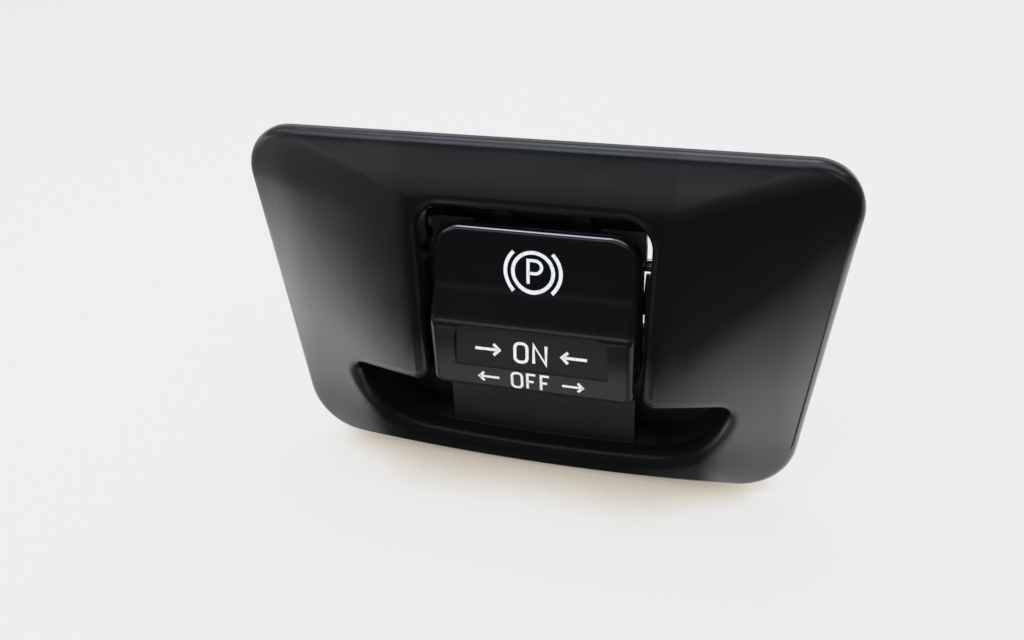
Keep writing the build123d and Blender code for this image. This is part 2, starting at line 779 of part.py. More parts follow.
with BuildPart() as switch_housing:
    with BuildSketch(depth(flange_y)) as flange_shape:
        with Locations((0, flange_foot_z)):
            flange_height = flange_top_z - flange_foot_z
            Rectangle(2 * flange_half, flange_height, align=(Align.CENTER, Align.MIN))
        fillet(flange_shape.vertices(), flange_radius)
        with Locations((0, flange_foot_z)):
            window_height = window_top_z - flange_foot_z
            window_size = (2 * window_half, window_height)
            Rectangle(*window_size, align=(Align.CENTER, Align.MIN), mode=Mode.SUBTRACT)
        with Locations((0, pivot_z)):
            notch_height = 2 * (bush_radius + bush_rim + pin_clearance)
            Rectangle(2 * (pin_outer_x + pin_clearance), notch_height, mode=Mode.SUBTRACT)
        with Locations(*module_places()):
            Circle(module_screw[0] + screw_clearance, mode=Mode.SUBTRACT)
    extrude(amount=-flange_thickness)
    for side in (-1, 1):
        with BuildSketch(Plane.YZ.offset(side * arm_inner_x)):
            with Locations((pivot_y, pivot_z)):
                Circle(arm_boss_radius)
            with Locations((pivot_y, flange_foot_z)):
                arm_height = pivot_z - flange_foot_z
                Rectangle(2 * arm_boss_radius, arm_height, align=(Align.CENTER, Align.MIN))
        extrude(amount=side * arm_thickness)
        with BuildSketch(Plane.YZ.offset(side * (arm_outer_x - column_thickness))):
            with Locations((pivot_y, flange_foot_z)):
                column_size = (box_front_y - pivot_y, column_height)
                Rectangle(*column_size, align=(Align.MIN, Align.MIN))
        extrude(amount=side * column_thickness)
        with BuildSketch(Plane.YZ.offset(side * lining_x)):
            with Locations((pivot_y - arm_boss_radius, flange_foot_z)):
                lining_height = pivot_z - lining_gap_z - flange_foot_z
                Rectangle(lining_width, lining_height, align=(Align.MIN, Align.MIN))
        extrude(amount=side * (arm_inner_x - lining_x))
    with BuildSketch(depth(box_front_y)):
        with Locations((0, cross_foot_z)):
            cross_size = (2 * arm_outer_x, flange_foot_z + column_height - cross_foot_z)
            Rectangle(*cross_size, align=(Align.CENTER, Align.MIN))
    extrude(amount=-box_wall)
    with BuildSketch(depth(box_front_y)):
        add(box_outline(0, 0))
    extrude(amount=box_front_y - box_rear_y)
    with BuildSketch(depth(box_rear_y)):
        add(box_outline(0, ear_boss_radius))
    extrude(amount=ear_boss_length)
    with BuildSketch(depth(flange_y + flange_thickness)):
        with Locations((0, bridge_foot_z)):
            bridge_size = (2 * (window_half + box_wall), window_top_z + box_wall - bridge_foot_z)
            Rectangle(*bridge_size, align=(Align.CENTER, Align.MIN))
    extrude(amount=-box_wall)
    with BuildSketch(depth(flange_y + flange_thickness)):
        with Locations((0, box_top_z)):
            Rectangle(2 * box_half, box_wall, align=(Align.CENTER, Align.MAX))
    extrude(amount=flange_y + flange_thickness - box_front_y)
    with BuildSketch(depth(box_front_y + box_wall)):
        add(box_outline(box_wall, 0))
    extrude(amount=box_front_y - box_rear_y, mode=Mode.SUBTRACT)
    with BuildSketch(depth(box_front_y)):
        with Locations((0, port_foot_z)):
            port_size = (2 * port_half, port_top_z - port_foot_z)
            Rectangle(*port_size, align=(Align.CENTER, Align.MIN))
    extrude(amount=-box_wall, mode=Mode.SUBTRACT)
    for side in (-1, 1):
        with BuildSketch(Plane.YZ.offset(side * box_half)):
            for rail_y in (rail_front_y, rail_rear_y):
                with Locations((rail_y, rail_foot_z)):
                    rail_size = (rail_thickness, rail_top_z - rail_foot_z)
                    Rectangle(*rail_size, align=(Align.MIN, Align.MIN))
        extrude(amount=-side * (box_half - slider_half - slot_clearance))
        with BuildSketch(Plane.YZ.offset(side * (runner_x - runner_thickness / 2))):
            Polygon(
                (box_front_y, 0),
                (box_front_y, box_foot_z + box_wall),
                (box_rear_y - ear_boss_length / 2, box_foot_z + box_wall),
                (runner_end_y, box_foot_z / 2),
                (runner_end_y, 0),
                align=None,
            )
        extrude(amount=side * runner_thickness)
    with BuildSketch(depth(sill_front_y)):
        with Locations((0, board_foot_z)):
            sill_size = (2 * box_half - box_wall, sill_height)
            Rectangle(*sill_size, align=(Align.CENTER, Align.MIN))
    extrude(amount=sill_front_y - board_front_y)
    with BuildSketch(depth(board_front_y)):
        with Locations(*board_screw_places):
            Circle(board_screw[0] + screw_clearance)
    extrude(amount=board_screw[3] - board_thickness, mode=Mode.SUBTRACT)
    with BuildSketch(depth(box_rear_y)):
        with Locations(*cover_screw_places):
            Circle(cover_screw[0] + screw_clearance)
    extrude(amount=cover_screw[3] - cover_thickness, mode=Mode.SUBTRACT)
    with BuildSketch(Plane.YZ):
        with Locations((pivot_y, pivot_z)):
            Circle(bush_radius + running_clearance)
    extrude(amount=arm_outer_x, both=True, mode=Mode.SUBTRACT)
    with BuildSketch(depth(box_front_y)):
        with Locations(*push_stop_places):
            Circle(stop_radius + stop_post_wall)
    extrude(amount=box_front_y - push_stop_y - stop_height)
    with BuildSketch(depth(push_stop_y + stop_height)):
        with Locations(*push_stop_places):
            Circle(stem_radius)
    extrude(amount=-stem_length, mode=Mode.SUBTRACT)
    with BuildSketch(depth(pull_stop_y + stop_height)):
        with Locations(*pull_stop_places):
            Circle(stem_radius)
    extrude(amount=-stem_length, mode=Mode.SUBTRACT)
switch_housing.part.label = "switch_housing"

# Bump stops: rubber buttons the carrier meets at the ends of its travel
with BuildPart() as bump_stops:
    for face_y, places in ((push_stop_y, push_stop_places), (pull_stop_y, pull_stop_places)):
        with BuildSketch(depth(face_y + stop_height)):
            with Locations(*places):
                Circle(stop_radius)
        extrude(amount=stop_height)
        with BuildSketch(depth(face_y + stop_height)):
            with Locations(*places):
                Circle(stem_radius)
        extrude(amount=-stem_length)
bump_stops.part.label = "bump_stops"

# Contact slider: block between the rails, slotted for the ball, pegs for the springs
peg_y = (tongue_front_y + tongue_rear_y) / 2
slider_foot_z = slider_z - slider_height / 2
slider_top_z = slider_z + slider_height / 2
with BuildPart() as contact_slider:
    with BuildSketch(Plane.XY.offset(slider_foot_z)):
        with Locations((0, slider_front_y)):
            slider_size = (2 * slider_half, slider_rear_y - slider_front_y)
            Rectangle(*slider_size, align=(Align.CENTER, Align.MIN))
        with Locations((0, tongue_front_y)):
            tongue_size = (2 * tongue_half, tongue_rear_y - tongue_front_y)
            Rectangle(*tongue_size, align=(Align.CENTER, Align.MIN))
    extrude(amount=slider_height)
    with BuildSketch(Plane.XY.offset(slider_foot_z - peg_height)):
        with Locations((0, peg_y)):
            Circle(peg_radius)
    extrude(amount=slider_height + 2 * peg_height)
    with BuildSketch(depth(slider_front_y)):
        with Locations((0, slider_z)):
            slot_size = (2 * slot_half, 2 * (ball_radius + slot_clearance))
            Rectangle(*slot_size)
    extrude(amount=slider_front_y - slot_rear_y, mode=Mode.SUBTRACT)
contact_slider.part.label = "contact_slider"


def coil(foot_z, top_z):
    # Round wire spring between two heights, on the pegs' line
    with BuildPart() as spring:
        height = top_z - foot_z - 2 * spring_wire_radius
        pitch = height / spring_turns
        start = (0, peg_y, foot_z + spring_wire_radius)
        with BuildLine() as path:
            Helix(pitch, height, spring_radius, center=start)
        with BuildSketch(Plane(path.line @ 0, z_dir=path.line % 0)):
            Circle(spring_wire_radius)
        sweep(path=path.line, is_frenet=True)
    return spring.part


lower_end_z = board_foot_z + sill_height + spring_clearance
upper_end_z = box_top_z - box_wall - spring_clearance
with BuildPart() as upper_spring:
    add(coil(slider_top_z + spring_clearance, upper_end_z))
upper_spring.part.label = "upper_spring"

with BuildPart() as lower_spring:
    add(coil(lower_end_z, slider_foot_z - spring_clearance))
lower_spring.part.label = "lower_spring"

# Circuit board with its contact tracks, lamps and chips
board_rear_y = board_front_y + board_thickness
pin_places = [
    ((column - (pin_columns - 1) / 2) * pin_pitch, z)
    for column in range(pin_columns)
    for z in pin_row_zs
]
with BuildPart() as circuit_board:
    with BuildSketch(depth(board_front_y)):
        with Locations((0, board_foot_z)):
            board_size = (2 * board_half, board_top_z - board_foot_z)
            Rectangle(*board_size, align=(Align.CENTER, Align.MIN))
        with Locations(*board_screw_places):
            Circle(board_screw[0] + screw_clearance, mode=Mode.SUBTRACT)
        with Locations(*pin_places):
            Circle(pin_size, mode=Mode.SUBTRACT)
    extrude(amount=-board_thickness)
circuit_board.part.label = "circuit_board"

track_xs = [track_pitch_x * step for step in (-1, 0, 1)]
track_zs = (slider_z - track_pitch_z / 2, slider_z + track_pitch_z / 2)
with BuildPart() as contact_tracks:
    with BuildSketch(depth(board_front_y)):
        with Locations(*[(x, z) for x in track_xs for z in track_zs]):
            Rectangle(track_width, track_length)
    extrude(amount=track_thickness)
contact_tracks.part.label = "contact_tracks"

with BuildPart() as leds:
    with BuildSketch(depth(board_front_y)):
        with Locations((-led_x, led_z), (led_x, led_z)):
            Rectangle(led_size, led_size)
    extrude(amount=led_height)
    fillet(leds.edges().filter_by(Axis.Y), led_size / 8)
leds.part.label = "leds"

with BuildPart() as board_components:
    with BuildSketch(depth(board_rear_y)):
        for x, z, width, height in board_chips:
            with Locations((x, z)):
                Rectangle(width, height)
    extrude(amount=-chip_height)
    chamfer(board_components.edges().group_by(Axis.Y)[-1], chip_height / 6)
board_components.part.label = "board_components"

with BuildPart() as board_screws:
    add(screw_set(board_screw, board_rear_y, board_screw_places))
board_screws.part.label = "board_screws"

# Contact bridges: sprung strips on the slider's rear face that join two tracks each
wiper_y = board_front_y - track_thickness - contact_gap - wiper_thickness / 2
with BuildPart() as contact_bridges:
    for x in track_xs:
        with BuildSketch(Plane.YZ.offset(x)):
            with BuildLine():
                seat_y = slider_rear_y + wiper_thickness / 2
                Polyline(
                    (seat_y, slider_z - 0.8 * track_pitch_z),
                    (wiper_y, slider_z - track_pitch_z / 2),
                    (seat_y, slider_z - track_pitch_z / 4),
                    (seat_y, slider_z + track_pitch_z / 4),
                    (wiper_y, slider_z + track_pitch_z / 2),
                    (seat_y, slider_z + 0.8 * track_pitch_z),
                )
            trace(line_width=wiper_thickness)
        extrude(amount=wiper_width / 2, both=True)
contact_bridges.part.label = "contact_bridges"

# Rear cover: plate on the box's rear, with the shroud round the connector's pins
with BuildPart() as rear_cover:
    with BuildSketch(depth(box_rear_y)):
        add(box_outline(0, ear_boss_radius))
    extrude(amount=-cover_thickness)
    with BuildSketch(depth(box_rear_y)):
        add(box_outline(box_wall + slide_clearance, 0))
        add(box_outline(2 * box_wall + slide_clearance, 0), mode=Mode.SUBTRACT)
    extrude(amount=cover_lip)
    with BuildSketch(depth(box_rear_y)):
        with Locations((0, shroud_z)):
            outer_size = (2 * (shroud_half + shroud_wall), 2 * (shroud_half_height + shroud_wall))
            RectangleRounded(*outer_size, shroud_wall)
    extrude(amount=-cover_thickness - shroud_length)
    with BuildSketch(depth(box_rear_y + cover_thickness)):
        with Locations((0, shroud_z)):
            RectangleRounded(2 * shroud_half, 2 * shroud_half_height, shroud_wall / 2)
    extrude(amount=-shroud_length, mode=Mode.SUBTRACT)
    with BuildSketch(Plane.XY.offset(shroud_z + shroud_half_height)):
        with Locations((0, box_rear_y + cover_thickness + latch_y)):
            Rectangle(latch_width, latch_length)
    extrude(amount=2 * shroud_wall, mode=Mode.SUBTRACT)
    with BuildSketch(depth(box_rear_y)):
        with Locations(*pin_places):
            Rectangle(pin_size + 2 * screw_clearance, pin_size + 2 * screw_clearance)
        with Locations(*cover_screw_places):
            Circle(cover_screw[0] + screw_clearance)
    extrude(amount=-cover_thickness, mode=Mode.SUBTRACT)
rear_cover.part.label = "rear_cover"

with BuildPart() as connector_pins:
    with BuildSketch(depth(board_front_y - pin_solder)):
        with Locations(*pin_places):
            Rectangle(pin_size, pin_size)
    extrude(amount=board_front_y - pin_solder - pin_tip_y)
    chamfer(connector_pins.edges().group_by(Axis.Y)[-1], pin_size / 4)
connector_pins.part.label = "connector_pins"

with BuildPart() as cover_screws:
    add(screw_set(cover_screw, box_rear_y + cover_thickness, cover_screw_places))
cover_screws.part.label = "cover_screws"

with BuildPart() as module_screws:
    add(screw_set(module_screw, flange_y + flange_thickness, module_places()))
module_screws.part.label = "module_screws"

with BuildPart() as well_screws:
    add(screw_set(well_screw, boss_reach + ear_thickness, well_places()))
well_screws.part.label = "well_screws"

os.makedirs("parts", exist_ok=True)
for piece in (
    bezel,
    finger_well,
    retaining_clips,
    paddle_shell,
    paddle_carrier,
    carrier_screws,
    light_guide,
    pivot_pins,
    pivot_bushes,
    pin_rings,
    switch_housing,
    bump_stops,
    contact_slider,
    upper_spring,
    lower_spring,
    circuit_board,
    contact_tracks,
    leds,
    board_components,
    board_screws,
    contact_bridges,
    rear_cover,
    connector_pins,
    cover_screws,
    module_screws,
    well_screws,
):
    export_step(piece.part, "parts/" + piece.part.label + ".step")
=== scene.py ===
import math
import bmesh
import bpy
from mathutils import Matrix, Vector
from mathutils.bvhtree import BVHTree


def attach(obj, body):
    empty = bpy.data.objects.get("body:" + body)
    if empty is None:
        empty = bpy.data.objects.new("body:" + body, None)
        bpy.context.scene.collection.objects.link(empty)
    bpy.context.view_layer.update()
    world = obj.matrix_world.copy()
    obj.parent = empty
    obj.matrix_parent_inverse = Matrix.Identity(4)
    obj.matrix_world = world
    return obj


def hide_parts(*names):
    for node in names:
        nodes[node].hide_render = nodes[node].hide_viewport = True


# Parking brake switch on a pale floor, in metres, in the CAD model's frame.
# The front faces -Y, +Z is up, and the switch stands on its foot and runners at Z = 0.

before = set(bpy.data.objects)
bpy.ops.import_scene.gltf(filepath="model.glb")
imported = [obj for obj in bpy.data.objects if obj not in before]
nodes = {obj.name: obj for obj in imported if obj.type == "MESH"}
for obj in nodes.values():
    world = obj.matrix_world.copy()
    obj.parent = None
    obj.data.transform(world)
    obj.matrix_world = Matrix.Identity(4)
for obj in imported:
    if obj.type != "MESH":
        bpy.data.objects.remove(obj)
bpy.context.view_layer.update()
print("frame loaded:", len(nodes), "nodes")

mm = 0.001


def linear(hexValue):
    # sRGB hex to the linear colour that shaders take
    parts = [int(hexValue[i:i + 2], 16) / 255 for i in (1, 3, 5)]
    return tuple(c / 12.92 if c <= 0.04045 else ((c + 0.055) / 1.055) ** 2.4 for c in parts) + (1.0,)


def addNode(tree, kind, links=None, props=None, **values):
    # One node: its properties, input values by name, and links from other sockets
    node = tree.nodes.new(kind)
    for name, value in (props or {}).items():
        setattr(node, name, value)
    for name, value in values.items():
        key = name.replace("_", " ")
        socket = node.inputs[int(name[1:])] if name[1:].isdigit() else node.inputs[key]
        socket.default_value = value
    for name, source in (links or {}).items():
        socket = node.inputs[int(name[1:])] if name[1:].isdigit() else node.inputs[name]
        tree.links.new(source, socket)
    return node


def reckon(tree, operation, *values):
    # A number worked out from sockets and plain numbers
    plain = {"_%d" % i: v for i, v in enumerate(values) if isinstance(v, (int, float))}
    links = {"_%d" % i: v for i, v in enumerate(values) if not isinstance(v, (int, float))}
    return addNode(tree, "ShaderNodeMath", links, {"operation": operation}, **plain).outputs["Value"]


def combine(tree, operation, values):
    # The same step over a whole list of sockets
    result = values[0]
    for value in values[1:]:
        result = reckon(tree, operation, result, value)
    return result


def fade(tree, value, start, end, low=0.0, high=1.0):
    # Smooth step from low to high between two values
    return addNode(
        tree, "ShaderNodeMapRange", {"Value": value}, {"interpolation_type": "SMOOTHSTEP"},
        From_Min=start, From_Max=end, To_Min=low, To_Max=high,
    ).outputs["Result"]


def newMaterial(name):
    material = bpy.data.materials.new(name)
    material.use_nodes = True
    tree = material.node_tree
    shader = tree.nodes["Principled BSDF"]
    return material, tree, shader


def setShader(shader, colour, roughness, metallic=0.0, ior=1.5, **others):
    shader.inputs["Base Color"].default_value = linear(colour)
    shader.inputs["Roughness"].default_value = roughness
    shader.inputs["Metallic"].default_value = metallic
    shader.inputs["IOR"].default_value = ior
    for name, value in others.items():
        shader.inputs[name.replace("_", " ")].default_value = value


def moulded(name, colour, roughness, grainMm, grainDepthMm, dust=0.0, **others):
    # Moulded plastic: fine spark-eroded grain, a little uneven gloss, and specks of dust
    material, tree, shader = newMaterial(name)
    setShader(shader, colour, roughness, **others)
    place = addNode(tree, "ShaderNodeTexCoord").outputs["Object"]
    grain = addNode(tree, "ShaderNodeTexNoise", {"Vector": place}, Scale=1 / (grainMm * mm), Detail=3.0)
    patches = addNode(tree, "ShaderNodeTexNoise", {"Vector": place}, Scale=60.0, Detail=4.0)
    gloss = addNode(
        tree, "ShaderNodeMapRange", {"Value": patches.outputs["Fac"]},
        From_Min=0.3, From_Max=0.7, To_Min=roughness - 0.04, To_Max=roughness + 0.05,
    )
    bump = addNode(
        tree, "ShaderNodeBump", {"Height": grain.outputs["Fac"]},
        Strength=1.0, Distance=grainDepthMm * mm,
    )
    tree.links.new(bump.outputs["Normal"], shader.inputs["Normal"])
    tree.links.new(gloss.outputs["Result"], shader.inputs["Roughness"])
    if dust:
        specks = addNode(
            tree, "ShaderNodeTexVoronoi", {"Vector": place}, Scale=1 / (1.6 * mm), Randomness=1.0
        )
        near = addNode(
            tree, "ShaderNodeMapRange", {"Value": specks.outputs["Distance"]},
            From_Min=0.06, From_Max=0.11, To_Min=1.0, To_Max=0.0,
        )
        picked = reckon(tree, "GREATER_THAN", specks.outputs["Color"], 1 - dust)
        share = reckon(tree, "MULTIPLY", near.outputs["Result"], picked)
        mix = addNode(tree, "ShaderNodeMix", {"Factor": share}, {"data_type": "RGBA"})
        mix.inputs[6].default_value = linear(colour)
        mix.inputs[7].default_value = linear("#A9A8A2")
        tree.links.new(mix.outputs[2], shader.inputs["Base Color"])
    return material


def metal(name, colour, roughness, scratchMm):
    # Metal: fine directionless polishing marks in the roughness
    material, tree, shader = newMaterial(name)
    setShader(shader, colour, roughness, metallic=1.0)
    place = addNode(tree, "ShaderNodeTexCoord").outputs["Object"]
    marks = addNode(tree, "ShaderNodeTexNoise", {"Vector": place}, Scale=1 / (scratchMm * mm), Detail=5.0)
    gloss = addNode(
        tree, "ShaderNodeMapRange", {"Value": marks.outputs["Fac"]},
        From_Min=0.3, From_Max=0.7, To_Min=roughness - 0.08, To_Max=roughness + 0.1,
    )
    tree.links.new(gloss.outputs["Result"], shader.inputs["Roughness"])
    return material


def glossLevel(material, axis, edges, levels):
    # Reflection level of a moulded part in smooth steps along one axis, edges in mm; X from the middle
    tree = material.node_tree
    place = addNode(tree, "ShaderNodeTexCoord").outputs["Object"]
    where = addNode(tree, "ShaderNodeSeparateXYZ", {"Vector": place}).outputs[axis]
    if axis == "X":
        where = reckon(tree, "ABSOLUTE", where)
    level = fade(tree, where, edges[0][0] * mm, edges[0][1] * mm, levels[0], levels[1])
    for (start, end), low, high in zip(edges[1:], levels[1:], levels[2:]):
        level = reckon(tree, "ADD", level, fade(tree, where, start * mm, end * mm, 0.0, high - low))
    return level


def setGloss(material, level):
    tree = material.node_tree
    tree.links.new(level, tree.nodes["Principled BSDF"].inputs["Specular IOR Level"])


# Materials: colour, roughness, grain and its depth in mm
softTouchAbs = moulded("softTouchAbs", "#0E0E0F", 0.28, 0.12, 0.004, dust=0.02)  # painted ABS, even satin
grainedAbs = moulded("grainedAbs", "#101113", 0.34, 0.16, 0.005, dust=0.012)  # finger well, darker
paddleAbs = moulded("paddleAbs", "#0F0F10", 0.15, 0.10, 0.001, dust=0.008)  # paddle, a little glossier
glassFilledNylon = moulded("glassFilledNylon", "#1D1E20", 0.5, 0.35, 0.010)  # carrier, dull and uneven
blackPbt = moulded("blackPbt", "#151618", 0.45, 0.25, 0.006)  # housing and rear cover
naturalAcetal = moulded("naturalAcetal", "#DAD7CC", 0.38, 0.30, 0.003)  # slider and bushes, waxy
stopRubber = moulded("stopRubber", "#171717", 0.75, 0.20, 0.010)  # chalky and soft
chipEpoxy = moulded("chipEpoxy", "#1A1A1C", 0.6, 0.15, 0.004)  # moulded chip bodies, matt
solderMask = moulded("solderMask", "#12502A", 0.3, 0.6, 0.004)  # glossy green lacquer on laminate
lampEpoxy = moulded("lampEpoxy", "#E9E3C4", 0.3, 0.4, 0.002)  # cast epoxy over a yellow phosphor
clearPolycarbonate = moulded(
    "clearPolycarbonate", "#EEF2F4", 0.08, 0.5, 0.001, Transmission_Weight=0.9, ior=1.585
)  # light guide, polished

# Painted reflection on the paddle: its panel and side rolls reflect less than its lip, as painted shade,
# and its upper roll the most, as a painted highlight
setGloss(paddleAbs, combine(paddleAbs.node_tree, "MULTIPLY", [
    glossLevel(paddleAbs, "Z", [(30.8, 32.2), (45.6, 46.6)], [0.5, 0.07, 1.0]),
    glossLevel(paddleAbs, "X", [(16.4, 17.2)], [1.0, 0.35]),
]))

# The bezel's reflection is painted: painted shade around the slot, along the crescent's lower edge, at the
# top rim and at the foot, and a painted sheen at the far sides
tree = softTouchAbs.node_tree
paintedShadeAroundSlot = combine(tree, "MAXIMUM", [
    glossLevel(softTouchAbs, "X", [(18.5, 19.5), (20.5, 24.0)], [0.16, 0.04, 0.5]),
    glossLevel(softTouchAbs, "Z", [(52.2, 54.6)], [0.0, 0.42]),
    glossLevel(softTouchAbs, "Z", [(20.0, 30.0)], [0.5, 0.0]),
])
# Painted shade along the crescent's lower edge
paintedShadeCrescentEdge = combine(tree, "MAXIMUM", [
    glossLevel(softTouchAbs, "X", [(29.0, 34.0)], [0.1, 1.0]),
    glossLevel(softTouchAbs, "Z", [(12.0, 15.0)], [0.0, 1.0]),
])
# Painted shade on the top rim and at the foot, painted sheen at the far sides
paintedShadeTopRim = glossLevel(softTouchAbs, "Z", [(60.4, 61.2)], [1.0, 0.5])
paintedSheenSides = glossLevel(softTouchAbs, "X", [(41.0, 48.0)], [1.0, 1.5])
foot = glossLevel(softTouchAbs, "Z", [(7.0, 16.0)], [0.65, 1.0])

# Right of the slot the reflection is also painted: painted shade above a line that rises from the slot's
# side to the upper corner, a slight painted sheen below it
dull = {"rise": 1.0, "foot": 27.5, "start": -6.0, "end": 3.0, "glossy": 1.12, "dull": 0.25}
crown = {"slope": -0.33, "start": 43.4, "end": 45.4, "left": 18.0, "right": 22.0}
place = addNode(tree, "ShaderNodeTexCoord").outputs["Object"]
spot = addNode(tree, "ShaderNodeSeparateXYZ", {"Vector": place}).outputs
line = reckon(tree, "MAXIMUM", reckon(tree, "ADD", spot["X"], dull["rise"] * mm), dull["foot"] * mm)
aboveLine = fade(
    tree, reckon(tree, "SUBTRACT", spot["Z"], line),
    dull["start"] * mm, dull["end"] * mm, dull["glossy"], dull["dull"],
)
underCrown = fade(
    tree, reckon(tree, "MULTIPLY_ADD", spot["X"], crown["slope"], spot["Z"]),
    crown["start"] * mm, crown["end"] * mm, 1.0, 0.0,
)
onRight = fade(tree, spot["X"], crown["left"] * mm, crown["right"] * mm)
share = reckon(tree, "MULTIPLY", underCrown, onRight)
paintedLightRightSide = addNode(tree, "ShaderNodeMix", {"Factor": share, "B": aboveLine}, A=1.0).outputs["Result"]
setGloss(softTouchAbs, combine(
    tree, "MULTIPLY", [paintedShadeAroundSlot, paintedShadeCrescentEdge, paintedShadeTopRim, paintedSheenSides, foot, paintedLightRightSide]
))

zincSteel = metal("zincSteel", "#B9BABD", 0.32, 0.25)  # plated screws, cool and bright
springSteel = metal("springSteel", "#9A9B9E", 0.28, 0.30)  # clips, rings and coil springs, oiled
groundSteel = metal("groundSteel", "#B4B5B7", 0.22, 0.20)  # pivot pins, smoothest of the steels
goldBrass = metal("goldBrass", "#D6AE62", 0.25, 0.25)  # contacts with a thin gold flash
tinBrass = metal("tinBrass", "#C9C8C4", 0.3, 0.2)  # connector pins, bright tin

finishes = {
    "bezel": softTouchAbs,
    "finger_well": grainedAbs,
    "retaining_clips": springSteel,
    "paddle_shell": paddleAbs,
    "paddle_carrier": glassFilledNylon,
    "light_guide": clearPolycarbonate,
    "pivot_pins": groundSteel,
    "pivot_bushes": naturalAcetal,
    "pin_rings": springSteel,
    "switch_housing": blackPbt,
    "bump_stops": stopRubber,
    "contact_slider": naturalAcetal,
    "upper_spring": springSteel,
    "lower_spring": springSteel,
    "circuit_board": solderMask,
    "contact_tracks": goldBrass,
    "leds": lampEpoxy,
    "board_components": chipEpoxy,
    "contact_bridges": goldBrass,
    "rear_cover": blackPbt,
    "connector_pins": tinBrass,
}
for name, material in finishes.items():
    nodes[name].data.materials.clear()
    nodes[name].data.materials.append(material)
print("finishes set")

# Screws: pan heads with a cross recess and a thread, one tree set on each screw's seat.
# The sizes are head radius and height, shank radius and length, in mm.
screwSets = {
    "module_screws": {"piece": "moduleScrews", "body": "base", "sizes": (2.5, 1.6, 1.25, 5.0)},
    "well_screws": {"piece": "wellScrews", "body": "base", "sizes": (1.9, 1.2, 1.0, 3.6)},
    "carrier_screws": {"piece": "carrierScrews", "body": "paddle", "sizes": (1.7, 1.1, 0.9, 5.0)},
    "cover_screws": {"piece": "coverScrews", "body": "base", "sizes": (1.9, 1.3, 1.0, 7.0)},
    "board_screws": {"piece": "boardScrews", "body": "base", "sizes": (1.6, 1.0, 0.9, 6.0)},
}
screwTree = bpy.data.node_groups.new("panHeadScrew", "GeometryNodeTree")
interface = screwTree.interface
sockets = {}
interface.new_socket("Geometry", in_out="OUTPUT", socket_type="NodeSocketGeometry")
interface.new_socket("Geometry", in_out="INPUT", socket_type="NodeSocketGeometry")
for title in ("Head Radius", "Head Height", "Shank Radius", "Length", "Pitch", "Drive"):
    socket = interface.new_socket(title, in_out="INPUT", socket_type="NodeSocketFloat")
    sockets[title] = socket.identifier
given = addNode(screwTree, "NodeGroupInput").outputs
result = addNode(screwTree, "NodeGroupOutput")


def along(z):
    return addNode(screwTree, "ShaderNodeCombineXYZ", {"Z": z}).outputs["Vector"]


def shifted(geometry, z):
    return addNode(
        screwTree, "GeometryNodeTransform", {"Geometry": geometry, "Translation": along(z)}
    ).outputs["Geometry"]


# The head: a cylinder drawn in towards its top, less two crossed bars
height, length = given["Head Height"], given["Length"]
blank = addNode(
    screwTree, "GeometryNodeMeshCylinder", {"Radius": given["Head Radius"], "Depth": height},
    Vertices=40, Side_Segments=8,
)
standing = shifted(blank.outputs["Mesh"], reckon(screwTree, "MULTIPLY", height, 0.5))
spot = addNode(screwTree, "GeometryNodeInputPosition").outputs["Position"]
level = addNode(screwTree, "ShaderNodeSeparateXYZ", {"Vector": spot}).outputs["Z"]
taper = fade(screwTree, reckon(screwTree, "DIVIDE", level, height), 0.35, 1.15, 1.0, 0.62)
narrow = addNode(screwTree, "ShaderNodeCombineXYZ", {"X": taper, "Y": taper}, Z=1.0).outputs["Vector"]
drawnIn = addNode(screwTree, "ShaderNodeVectorMath", {"_0": spot, "_1": narrow}, {"operation": "MULTIPLY"})
domed = addNode(
    screwTree, "GeometryNodeSetPosition", {"Geometry": standing, "Position": drawnIn.outputs["Vector"]}
).outputs["Geometry"]
drive = given["Drive"]
slim = reckon(screwTree, "MULTIPLY", drive, 0.24)
deep = reckon(screwTree, "MULTIPLY", height, 1.1)
cross = addNode(screwTree, "GeometryNodeMeshBoolean", {"Mesh 1": domed}, {"operation": "DIFFERENCE"})
for x, y in ((drive, slim), (slim, drive)):
    size = addNode(screwTree, "ShaderNodeCombineXYZ", {"X": x, "Y": y, "Z": deep}).outputs["Vector"]
    bar = addNode(screwTree, "GeometryNodeMeshCube", {"Size": size}).outputs["Mesh"]
    screwTree.links.new(shifted(bar, height), cross.inputs["Mesh 2"])

# The shank: a plain core with a thin ridge wound along it
root = reckon(screwTree, "MULTIPLY", given["Shank Radius"], 0.88)
shank = addNode(screwTree, "GeometryNodeMeshCylinder", {"Radius": root, "Depth": length}, Vertices=24)
coil = addNode(
    screwTree, "GeometryNodeCurveSpiral",
    {
        "Start Radius": root, "End Radius": root,
        "Height": reckon(screwTree, "MULTIPLY", length, 0.9),
        "Rotations": reckon(screwTree, "DIVIDE", length, given["Pitch"]),
    },
    Resolution=20,
)
ridgeRadius = reckon(screwTree, "MULTIPLY", given["Shank Radius"], 0.11)
ridge = addNode(screwTree, "GeometryNodeCurvePrimitiveCircle", {"Radius": ridgeRadius}, Resolution=3)
lowered = shifted(coil.outputs["Curve"], reckon(screwTree, "MULTIPLY", length, -0.98))
thread = addNode(
    screwTree, "GeometryNodeCurveToMesh", {"Curve": lowered, "Profile Curve": ridge.outputs["Curve"]},
    Fill_Caps=True,
)
hanging = shifted(shank.outputs["Mesh"], reckon(screwTree, "MULTIPLY", length, -0.5))
joined = addNode(screwTree, "GeometryNodeJoinGeometry")
for part in (thread.outputs["Mesh"], hanging, cross.outputs["Mesh"]):
    screwTree.links.new(part, joined.inputs["Geometry"])

